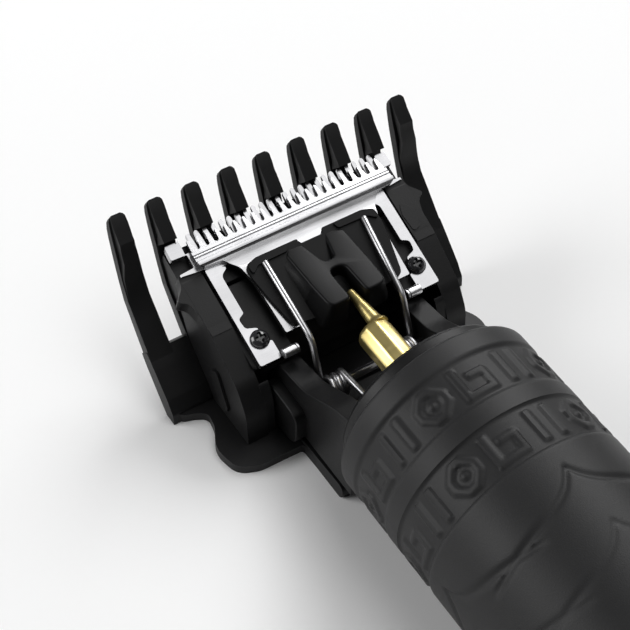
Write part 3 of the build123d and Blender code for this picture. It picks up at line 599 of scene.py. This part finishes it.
def build_moving_blade():
    """The toothed strip with its ridge, and the tongue that the follower is riveted to."""
    bm = bmesh.new()
    right, right_end_spare = 17.43, 0.44
    pitch = 34.0 / (sizes().moving_teeth - 1)
    outline = tooth_row(16.75, pitch, sizes().moving_teeth, MOVING_ROOT, MOVING_TIP, 0.22, 0.44)
    back = [(right, 2.5), (right, -0.1), (16.6, -0.55), (14.0, -0.75), (12.3, -2.7), (11.5, -6.0),
            (11.2, -15.0), (8.2, -15.0), (6.4, -12.4)]
    back = rounded(back, [0.15, 0.5, 0.4, 1.2, 1.6, 2, 0.3, 0.2, 0.6], 5)
    other = [(-x - (right_end_spare if x > 16.4 else 0), s) for x, s in back]
    slab(bm, list(reversed(back)) + outline + other, BLADE_PLANE, 0.05, 1.0)
    to_blade = BLADE_PLANE.inverted()
    for s in (1.72, 1.6, 1.48, 1.28, 1.16, 1.04, 0.62, 0.5, 0.1, -0.12, -0.5, -1.0, -1.6, -2.6, -3.2):
        bmesh.ops.bisect_plane(bm, geom=bm.verts[:] + bm.edges[:] + bm.faces[:],
                               plane_co=on_blade(0, s, 0), plane_no=BLADE_PLANE.to_3x3() @ Vector((0, 1, 0)))
    for vert in bm.verts:
        x, s, t = to_blade @ vert.co
        if t > 0.5:
            vert.co = on_blade(x, s, moving_top(s))
    bmesh.ops.translate(bm, verts=bm.verts, vec=(BLADE_SHIFT, 0, 0))
    finish_piece("moving-blade", bm, "blade_steel", "cutter", ["moving_blade"], bevel=0.05)


# ---------------------------------------------------------------- follower, screws and pins
FOLLOWER_TOP = 20.5


def build_follower():
    """The black follower: a plate with two spring pads, and a block with the drive pin's slot."""
    bm = bmesh.new()
    half = [(2.2, -2.7), (2.5, -2.6), (9.6, -2.6), (11.6, -3.2), (11.7, -5.6), (11.2, -8.6), (9.9, -14.6),
            (5.0, -15.2)]
    half = list(reversed(rounded(half, [0.3, 0.3, 1.6, 1.0, 1.0, 3, 1.4, 0.4])))
    dip = [(1.9, -3.5), (-1.9, -3.5)]
    slab(bm, half + dip + mirrored(half), BLADE_PLANE, 0.92, 1.5)
    lip = rounded([(4.0, -2.7), (9.4, -2.7), (11.4, -3.3), (11.4, -5.2), (9.9, -4.0), (4.6, -3.9)],
                  [0.4, 1.4, 0.8, 0.5, 1.2, 0.6])
    for outline in (lip, mirrored(lip)):
        slab(bm, outline, BLADE_PLANE, 1.4, 1.85)
    bmesh.ops.translate(bm, verts=bm.verts, vec=(BLADE_SHIFT, 0, 0))
    finish_piece("follower-plate", bm, "follower_plastic", "cutter", bevel=0.2, segments=3)
    bm = bmesh.new()
    half = [(0.9, 61.2), (2.0, 65.9), (4.2, 66.5), (5.3, 65.0), (5.3, 58.0), (5.1, 53.1), (1.35, 53.1),
            (1.3, 59.4)]
    radii = [0.85, 0.6, 0.9, 1.0, 1.0, 1.5, 0.9, 1.25]
    outline = rounded(mirrored(half) + half, list(reversed(radii)) + radii, 5)
    if outline_area(outline) < 0:
        outline.reverse()
    foot = [(x * (1.22 if abs(x) > 3.5 else 1.0), y, blade_height(y, 1.2)) for x, y in outline]
    sections = [foot]
    for step in range(5):
        turn = radians(90 * step / 4)
        level = FOLLOWER_TOP - 0.4 + 0.4 * sin(turn)
        inner = inset(outline, 0.4 * (1 - cos(turn)))
        sections.append([(x, y, max(level, blade_height(y, 1.3))) for x, y in inner])
    bar(bm, sections)
    bmesh.ops.translate(bm, verts=bm.verts, vec=(BLADE_SHIFT, 0, 0))
    finish_piece("blade-follower", bm, "follower_plastic", "cutter", ["blade_follower"], sharp=40)
    bm = bmesh.new()
    for x in (-8.0, 8.0):
        slab(bm, arc((x, -7.5), 0.8, 0, 345, 23), BLADE_PLANE, 0.06, 1.35)
    bmesh.ops.translate(bm, verts=bm.verts, vec=(BLADE_SHIFT, 0, 0))
    finish_piece("follower-rivets", bm, "plain_steel", "cutter", ["follower_rivets"], bevel=0.15)


def screw_ring(x, s, share, height):
    """One ring of a screw head, at this share of its radius; height takes the two offsets from its middle."""
    ring = []
    for step in range(SCREW_STEPS):
        angle = 2 * pi * step / SCREW_STEPS
        a, b = SCREW_RADIUS * share * cos(angle), SCREW_RADIUS * share * sin(angle)
        ring.append(on_blade(x + a, s + b, height(a, b)))
    return ring


def screw_head(bm, x, s):
    """A pan head with a cross recess, as a fine domed disc whose cross is pressed down."""
    sections = []
    for ring in range(1, SCREW_RINGS + 1):
        share = ring / SCREW_RINGS
        dome = 1.1 - 0.75 * share**3
        sections.append(screw_ring(x, s, share, lambda a, b: RECESS_FLOOR if (
            min(abs(a), abs(b)) < RECESS_HALF and share < RECESS_REACH) else dome))
    sections.append(screw_ring(x, s, 1.0, lambda a, b: 0.04))
    bar(bm, sections)


def build_blade_screws():
    """Two blackened pan-head screws with a cross recess, and the bright pins at the legs' ends."""
    bm = bmesh.new()
    for side in (-1, 1):
        screw_head(bm, side * SCREW_X, SCREW_S)
        slab(bm, arc((side * SCREW_X, SCREW_S), 0.9, 0, 345, 23), BLADE_PLANE, -3.4, 0.1)
    finish_piece("blade-screws", bm, "dark_steel", "trimmer", ["blade_screws"], sharp=50)
    bm = bmesh.new()
    for side in (-1, 1):
        profile = [(0, 0), (0, 0.55), (0.12, 0.8), (2.1, 0.8), (2.1, 0.62), (2.35, 0.62), (2.35, 0.8),
                   (2.6, 0.8), (2.6, 0)]
        turned(bm, [(-side * a, r) for a, r in profile], (side * 12.45, 53.0, 14.9), along="X", steps=24)
    finish_piece("locating-pins", bm, "plain_steel", "trimmer", ["locating_pins"], sharp=30)


# ---------------------------------------------------------------- torsion spring
def rounded_path(corners, radius, steps=6):
    """A path through these corners in space, with each inner corner rounded."""
    points = [Vector(corners[0])]
    for before, here, after in zip(corners, corners[1:], corners[2:]):
        here = Vector(here)
        start = here + (Vector(before) - here).normalized() * radius
        end = here + (Vector(after) - here).normalized() * radius
        points += [start.lerp(here, i / steps).lerp(here.lerp(end, i / steps), i / steps)
                   for i in range(steps + 1)]
    return points + [Vector(corners[-1])]


def wire_mesh(name, paths, radius):
    """A mesh of round wires along these paths, in millimetres, with rounded ends."""
    curve = bpy.data.curves.new(name, "CURVE")
    curve.dimensions = "3D"
    curve.bevel_depth = radius * MM
    curve.bevel_resolution = 5
    curve.use_fill_caps = True
    for path in paths:
        spline = curve.splines.new("POLY")
        spline.points.add(len(path) - 1)
        for point, place in zip(spline.points, path):
            point.co = (*(place * MM), 1)
        for end in (0, -1):
            spline.points[end].radius = 0.6
    holder = bpy.data.objects.new(name, curve)
    bpy.context.scene.collection.objects.link(holder)
    mesh = bpy.data.meshes.new_from_object(holder.evaluated_get(bpy.context.evaluated_depsgraph_get()))
    bpy.data.objects.remove(holder)
    return mesh


def build_spring():
    """The double-leg torsion spring: tips on the follower, coils round the cross pin, one bridge."""
    radius = sizes().wire / 2
    coil_y, coil_z, mean, turns = 47.4, 9.4, 1.15 + radius, 3
    paths = []
    for side in (-1, 1):
        tip = on_blade(side * 8.95 + BLADE_SHIFT, -3.9, 1.62 + radius)
        nearly = on_blade(side * 8.93 + BLADE_SHIFT, -4.15, 1.62 + radius)
        leg = rounded_path([nearly, (side * 8.2, 52.0, 17.0), (side * 8.2, coil_y + mean, coil_z + 1.2)], 1.3)
        coil = []
        for step in range(turns * 24 + 1):
            angle = 2 * pi * step / 24
            x = side * (8.2 - 1.04 * 2 * radius * angle / (2 * pi))
            coil.append(Vector((x, coil_y + mean * cos(angle), coil_z - mean * sin(angle))))
        paths.append([tip] + leg + coil)
    inner = 8.2 - 1.04 * 2 * radius * turns
    bridge = [(-inner, coil_y + mean, coil_z + 0.1), (-inner, coil_y + mean - 0.6, coil_z + 1.9),
              (-inner, 38.6, 12.9), (inner, 38.6, 12.9), (inner, coil_y + mean - 0.6, coil_z + 1.9),
              (inner, coil_y + mean, coil_z + 0.1)]
    paths.append(rounded_path(bridge, 0.9))
    mesh = wire_mesh("torsion-spring", paths, radius)
    mesh.materials.clear()
    mesh.materials.append(material("spring_steel"))
    mesh.polygons.foreach_set("use_smooth", [True] * len(mesh.polygons))
    mesh.set_sharp_from_angle(angle=radians(50))
    piece = bpy.data.objects.new("torsion-spring", mesh)
    bpy.context.scene.collection.objects.link(piece)
    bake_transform(piece)
    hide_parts("torsion_spring")


# ---------------------------------------------------------------- eccentric hub
HUB_START, HUB_END, HUB_RADIUS = 36.0, 48.25, 2.85


def fluted_ring(y, scale, facets=10, per_facet=8):
    """The hub's outline at this Y: slightly hollow facets with softened corners between them."""
    ring = []
    for i in range(facets * per_facet):
        angle = 2 * pi * i / (facets * per_facet)
        off_middle = (angle + pi / facets) % (2 * pi / facets) - pi / facets
        flat = HUB_RADIUS * cos(pi / facets) / cos(off_middle) - 0.05
        radius = min(flat, HUB_RADIUS - 0.09) * scale
        ring.append((radius * cos(angle), y, CAM_Z + radius * sin(angle)))
    return ring


def build_hub():
    """The brass hub on the motor shaft, and the tapered drive pin that stands off its axis."""
    bm = bmesh.new()
    bar(bm, [fluted_ring(y, scale) for y, scale in (
        (HUB_START, 0.9), (HUB_START + 0.35, 1.0), (HUB_END - 0.9, 1.0), (HUB_END - 0.3, 0.93),
        (HUB_END, 0.8))])
    x = CAM_THROW * cos(CAM_REST)
    z = CAM_Z + CAM_THROW * sin(CAM_REST)
    profile = [(-0.4, 0), (-0.4, 1.7), (0.0, 1.6), (0.25, 1.32), (0.8, 1.16), (6.9, 0.66), (7.2, 0.56),
               (7.35, 0.36), (7.35, 0)]
    turned(bm, profile, (x, HUB_END, z), steps=36)
    finish_piece("eccentric-hub", bm, "hub_brass", "cam", ["eccentric_hub"], sharp=40)


# ---------------------------------------------------------------- head housing
def build_head():
    """The black head: collar, floor, two cheeks either side of the hub, and the blade platform."""
    bm = bmesh.new()
    collar = [(22.0, 12.5), (22.0, 14.2), (27.0, 14.2), (27.0, 13.4), (28.6, 13.4), (28.6, 14.2),
              (34.6, 14.2), (35.4, 13.4), (35.4, 4.0), (22.0, 4.0)]
    turned(bm, collar + collar[:1], (0, 0, AXIS_Z), steps=96)
    base = rounded([(33.0, 2.5), (54.2, 2.5), (56.4, 4.6), (56.0, 5.0), (33.0, 5.0)], [0, 1.5, 0.3, 0, 0])
    slab(bm, base, SIDE, -9.6, 9.6)
    outer = rounded([(45.2, 2.6), (54.0, 2.1), (55.5, 6.0), (53.4, 9.8), (45.2, 9.4)],
                    [2.2, 3, 2.6, 2.6, 2.2], 8)
    inner = rounded([(33.0, 3.4), (55.6, 3.4), (56.6, 6.8), (53.4, 12.6), (46.5, 13.6), (39.0, 18.0),
                     (33.0, 20.2)], [0, 1, 2, 2.4, 8, 10, 0], 8)
    for side in (-1, 1):
        slab(bm, outer, SIDE, side * 12.6, side * 14.85)
        slab(bm, inner, SIDE, side * 9.35, side * 13.0)
    platform = rounded([(9.6, -4.1), (16.9, -4.1), (16.9, -17.5), (9.6, -17.5)], [0.6, 0.5, 0.8, 0.6])
    for outline in (platform, mirrored(platform)):
        slab(bm, outline, BLADE_PLANE, -1.25, -3.45)
    tongue = rounded([(-9.8, -4.1), (9.8, -4.1), (9.8, -12.0), (-9.8, -12.0)], 0.4)
    slab(bm, tongue, BLADE_PLANE, -1.3, -3.4)
    finish_piece("head-housing", bm, "head_plastic", "trimmer", ["head_housing"], bevel=0.5, segments=4)
    # Painted shade: the spring pin gets the black glossy finish so that it stays as dark as the shade in the
    # gap between the cheeks.
    bm = bmesh.new()
    turned(bm, [(-12.4, 0), (-12.4, 1.0), (12.4, 1.0), (12.4, 0)],
           (0, 47.4, 9.4), along="X", steps=24)
    finish_piece("spring-pin", bm, "dark_steel", "trimmer", ["spring_pin"])


# ---------------------------------------------------------------- body shell
COLLAR_Y, JOINT_Y = 32.4, -76.0
SLOT_FORE, SLOT_REAR = -27.6, -40.4
LENS_Y, LENS_RADIUS = -16.0, 1.1
BAND_CENTRES = (24.9, 14.5)
BAND_HALF = 3.5
STROKE_EDGE = 0.22


def step_between(value, low, high):
    """0 below low, 1 above high, and a smooth rise between them."""
    u = min(1.0, max(0.0, (value - low) / (high - low)))
    return u * u * (3 - 2 * u)


def stroke(distance, half):
    """1 on a moulded line of this half width, 0 beside it, with a sloping edge."""
    return 1 - step_between(abs(distance), half - STROKE_EDGE / 2, half + STROKE_EDGE)


def band_motif(along, across):
    """Height, 0 to 1, of the moulded band pattern: fret hooks, pairs of bars and lozenge rings."""
    kind = int(along // 6.8) % 3
    u = along % 6.8 - 3.4
    v = across
    inside = 1 - step_between(abs(v), 2.6, 2.9)
    if kind == 0:
        bars = max(stroke(u + 1.5, 0.55), stroke(u - 1.5, 0.55))
        return bars * inside
    if kind == 1:
        ring = max(abs(u) * 0.95, abs(v) * 0.95, (abs(u) + abs(v)) * 0.72)
        return max(stroke(ring - 2.05, 0.5), stroke(ring, 0.5))
    hook = max(stroke(u + 2.0, 0.5) * inside, stroke(v + 2.2, 0.5) * (1 - step_between(abs(u), 2.3, 2.6)))
    curl = stroke(u - 2.0, 0.5) * (1 - step_between(v, 1.0, 1.3)) * inside
    tail = stroke(v - 0.8, 0.5) * (1 - step_between(abs(u - 0.9), 1.3, 1.6))
    return max(hook, curl, tail)


def groove_line(angle):
    """Where the long curved groove runs: its Y at this angle round the body, in degrees."""
    spread = abs(angle - 2.0)
    return 7.4 - 3.4 * (1 - exp(-spread / 7.0)) - 0.055 * spread


def relief_depth(angle, y):
    """How far the surface lies under the plain cylinder, as a share of the full relief."""
    for centre in BAND_CENTRES:
        across = y - centre
        if abs(across) < BAND_HALF + 0.6:
            floor = 1 - step_between(abs(across), BAND_HALF - 0.1, BAND_HALF + 0.3)
            along = radians(angle) * BODY_RADIUS + 200.0 + centre * 1.7
            return floor * (1 - band_motif(along, across))
    depth = 0.0
    for turn in (-180, -90, 0, 90, 180):
        near = angle - turn
        if abs(near) <= 66:
            fade = 1 - step_between(abs(near), 56, 66)
            for drop in (0.0, 9.5):
                gap = y - groove_line(near) + drop
                depth = max(depth, fade * exp(-(gap / 0.55) ** 2) * (1.0 if drop == 0 else 0.5))
    return depth


def press_opening(bm, inside):
    """Sinks the top faces whose middle lies inside this outline through the wall."""
    chosen = []
    for face in bm.faces:
        middle = face.calc_center_median()
        if middle.z > AXIS_Z + BODY_RADIUS - 1.0 and inside(middle.x, middle.y):
            chosen.append(face)
    sunk = bmesh.ops.extrude_face_region(bm, geom=chosen)["geom"]
    bmesh.ops.delete(bm, geom=chosen, context="FACES_ONLY")
    for part in sunk:
        if isinstance(part, bmesh.types.BMVert):
            part.co.z -= 1.75


def build_body():
    """The matt body shell, turned and then pressed with its moulded pattern and its two openings."""
    bm = bmesh.new()
    rings = [(COLLAR_Y, BODY_RADIUS - 2.0), (COLLAR_Y, BODY_RADIUS - 0.75)]
    rings += [(COLLAR_Y - 0.75 + 0.75 * cos(a), BODY_RADIUS - 0.75 + 0.75 * sin(a))
              for a in (radians(turn) for turn in (15, 30, 50, 70, 90))]
    y = 30.6
    while y > -12.0:
        rings.append((y, BODY_RADIUS))
        y -= 0.3
    rings += [(LENS_Y + LENS_RADIUS * cos(radians(turn)), BODY_RADIUS) for turn in range(0, 181, 15)]
    rings += [(y, BODY_RADIUS) for y in (-20, SLOT_FORE, (SLOT_FORE + SLOT_REAR) / 2, SLOT_REAR, -50,
                                         -60, -70, JOINT_Y + 0.2)]
    rings += [(JOINT_Y + 0.02, BODY_RADIUS - 0.15), (JOINT_Y + 0.02, BODY_RADIUS - 2.0)]
    turned(bm, rings + rings[:1], (0, 0, AXIS_Z), steps=320)
    for vert in bm.verts:
        flat = Vector((vert.co.x, vert.co.z - AXIS_Z))
        if flat.length > BODY_RADIUS - 0.01:
            angle = Vector((0, 1)).angle_signed(flat) * 180 / pi
            sunk = sizes().relief * relief_depth(angle, vert.co.y)
            flat *= (BODY_RADIUS - sunk) / flat.length
            vert.co.x, vert.co.z = flat.x, AXIS_Z + flat.y
    press_opening(bm, lambda x, y: abs(x) < 3.0 and SLOT_REAR < y < SLOT_FORE)
    press_opening(bm, lambda x, y: x * x + (y - LENS_Y) ** 2 < LENS_RADIUS**2)
    finish_piece("body-shell", bm, "shell_plastic", "trimmer", ["body_shell"], sharp=40)


def build_end_cap():
    """Softens the edges of the end cap, its socket and screws, and the switch button."""
    for node in ("end_cap", "charge_socket", "end_cap_screws", "switch_button"):
        edge = frame["nodes"][node].modifiers.new("worn edges", "BEVEL")
        edge.width = 0.18 * MM
        edge.segments = 3
        edge.limit_method = "ANGLE"
        edge.angle_limit = radians(35)


# ---------------------------------------------------------------- stage
# Each light's name, its place and aim in metres, its width and height, and its power in watts.
LIGHTS = (
    ("overhead softbox", (0.36, -0.1, 1.2), (0, 0.03, 0), 1.5, 0.8, 6.2),
    ("right key", (0.8, 0.7, 0.85), (0, 0.05, 0.01), 0.7, 0.7, 11.6),
    ("left fill", (-0.75, 0.45, 0.4), (0, 0.05, 0.02), 0.6, 0.4, 5.0),
)
CAMERA_PLACE = (-0.09547, -0.06937, 0.20022)
CAMERA_AZIMUTH, CAMERA_ELEVATION, CAMERA_ROLL = radians(-35.85), radians(49.96), radians(3.57)


def build_stage():
    """The pale floor, the camera and soft studio lights."""
    bm = bmesh.new()
    bmesh.ops.create_grid(bm, x_segments=4, y_segments=4, size=4000)
    floor = finish_piece("floor", bm, "floor", None)
    scene = bpy.context.scene
    scene.view_settings.view_transform = "Standard"
    world = bpy.data.worlds.new("studio")
    world.use_nodes = True
    world.node_tree.nodes["Background"].inputs["Color"].default_value = (1, 1, 1, 1)
    world.node_tree.nodes["Background"].inputs["Strength"].default_value = 0.1
    scene.world = world
    for name, place, aim, width, height, power in LIGHTS:
        data = bpy.data.lights.new(name, "AREA")
        data.shape = "RECTANGLE"
        data.size, data.size_y = width, height
        data.energy = power
        lamp = bpy.data.objects.new(name, data)
        lamp.location = place
        lamp.rotation_euler = (Vector(aim) - Vector(place)).to_track_quat("-Z", "Y").to_euler()
        scene.collection.objects.link(lamp)
    camera = bpy.data.objects.new("camera", bpy.data.cameras.new("camera"))
    camera.data.lens = 92.0
    camera.data.sensor_width = 36.0
    camera.data.clip_start, camera.data.clip_end = 0.01, 20.0
    camera.location = CAMERA_PLACE
    azimuth, elevation, roll = CAMERA_AZIMUTH, CAMERA_ELEVATION, CAMERA_ROLL
    back = Vector((sin(azimuth) * cos(elevation), -cos(azimuth) * cos(elevation), sin(elevation)))
    level = Vector((0, 0, 1)).cross(back).normalized()
    above = back.cross(level)
    right = cos(roll) * level + sin(roll) * above
    up = cos(roll) * above - sin(roll) * level
    camera.rotation_euler = Matrix((right, up, back)).transposed().to_euler()
    scene.collection.objects.link(camera)
    scene.camera = camera


def dress_cad_pieces():
    """Gives every CAD node that still shows the procedural material of its slot."""
    for entry in frame["record"]["subparts"]:
        mesh = frame["nodes"][entry["node"]].data
        mesh.materials.clear()
        mesh.materials.append(material(entry["material_slot"]))


# ---------------------------------------------------------------- operators, panel and registration
class TRIMMER_OT_stage(bpy.types.Operator):
    """Adds the pale floor, the studio lights and the camera"""

    bl_idname = "trimmer.stage"
    bl_label = "Stage"

    def execute(self, context):
        build_stage()
        return {"FINISHED"}


class TRIMMER_OT_cad(bpy.types.Operator):
    """Gives every CAD piece the material of its slot"""

    bl_idname = "trimmer.cad"
    bl_label = "Cad pieces"

    def execute(self, context):
        dress_cad_pieces()
        return {"FINISHED"}


class TRIMMER_OT_body(bpy.types.Operator):
    """Models the body shell with its moulded bands and grooves"""

    bl_idname = "trimmer.body"
    bl_label = "Body"

    def execute(self, context):
        build_body()
        return {"FINISHED"}


class TRIMMER_OT_end_cap(bpy.types.Operator):
    """Softens the edges of the end cap, its socket and screws, and the button"""

    bl_idname = "trimmer.end_cap"
    bl_label = "End cap"

    def execute(self, context):
        build_end_cap()
        return {"FINISHED"}


class TRIMMER_OT_head(bpy.types.Operator):
    """Models the head housing and the pin that holds the spring"""

    bl_idname = "trimmer.head"
    bl_label = "Head"

    def execute(self, context):
        build_head()
        return {"FINISHED"}


class TRIMMER_OT_hub(bpy.types.Operator):
    """Models the brass hub and its drive pin"""

    bl_idname = "trimmer.hub"
    bl_label = "Hub"

    def execute(self, context):
        build_hub()
        return {"FINISHED"}


class TRIMMER_OT_spring(bpy.types.Operator):
    """Models the double-leg torsion spring"""

    bl_idname = "trimmer.spring"
    bl_label = "Spring"

    def execute(self, context):
        build_spring()
        return {"FINISHED"}


class TRIMMER_OT_follower(bpy.types.Operator):
    """Models the blade follower and its rivets"""

    bl_idname = "trimmer.follower"
    bl_label = "Follower"

    def execute(self, context):
        build_follower()
        return {"FINISHED"}


class TRIMMER_OT_screws(bpy.types.Operator):
    """Models the blade screws and the locating pins"""

    bl_idname = "trimmer.screws"
    bl_label = "Screws"

    def execute(self, context):
        build_blade_screws()
        return {"FINISHED"}


class TRIMMER_OT_fixed_blade(bpy.types.Operator):
    """Models the fixed blade with its teeth and legs"""

    bl_idname = "trimmer.fixed_blade"
    bl_label = "Fixed blade"

    def execute(self, context):
        build_fixed_blade()
        return {"FINISHED"}


class TRIMMER_OT_moving_blade(bpy.types.Operator):
    """Models the moving blade with its ridge and teeth"""

    bl_idname = "trimmer.moving_blade"
    bl_label = "Moving blade"

    def execute(self, context):
        build_moving_blade()
        return {"FINISHED"}


class TRIMMER_OT_comb(bpy.types.Operator):
    """Models the guide comb"""

    bl_idname = "trimmer.comb"
    bl_label = "Comb"

    def execute(self, context):
        build_comb()
        return {"FINISHED"}


# The operators in the order that they run.
OPERATORS = (
    TRIMMER_OT_stage, TRIMMER_OT_cad, TRIMMER_OT_body, TRIMMER_OT_end_cap, TRIMMER_OT_head,
    TRIMMER_OT_hub, TRIMMER_OT_spring, TRIMMER_OT_follower, TRIMMER_OT_screws, TRIMMER_OT_fixed_blade,
    TRIMMER_OT_moving_blade, TRIMMER_OT_comb,
)


class TRIMMER_PT_panel(bpy.types.Panel):
    """Lists the trimmer's pieces in the sidebar."""

    bl_idname = "TRIMMER_PT_panel"
    bl_label = "Trimmer"
    bl_space_type = "VIEW_3D"
    bl_region_type = "UI"
    bl_category = "Trimmer"

    def draw(self, context):
        for entry in OPERATORS:
            self.layout.operator(entry.bl_idname)


CLASSES = (TrimmerColours, TrimmerSizes, *OPERATORS, TRIMMER_PT_panel)


def register():
    for entry in CLASSES:
        bpy.utils.register_class(entry)
    bpy.types.Scene.trimmer_colours = PointerProperty(type=TrimmerColours)
    bpy.types.Scene.trimmer_sizes = PointerProperty(type=TrimmerSizes)


def unregister():
    del bpy.types.Scene.trimmer_sizes
    del bpy.types.Scene.trimmer_colours
    for entry in reversed(CLASSES):
        bpy.utils.unregister_class(entry)


def main():
    register()
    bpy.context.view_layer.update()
    for entry in OPERATORS:
        getattr(bpy.ops.trimmer, entry.bl_idname.removeprefix("trimmer."))()


if __name__ == "__main__":
    main()
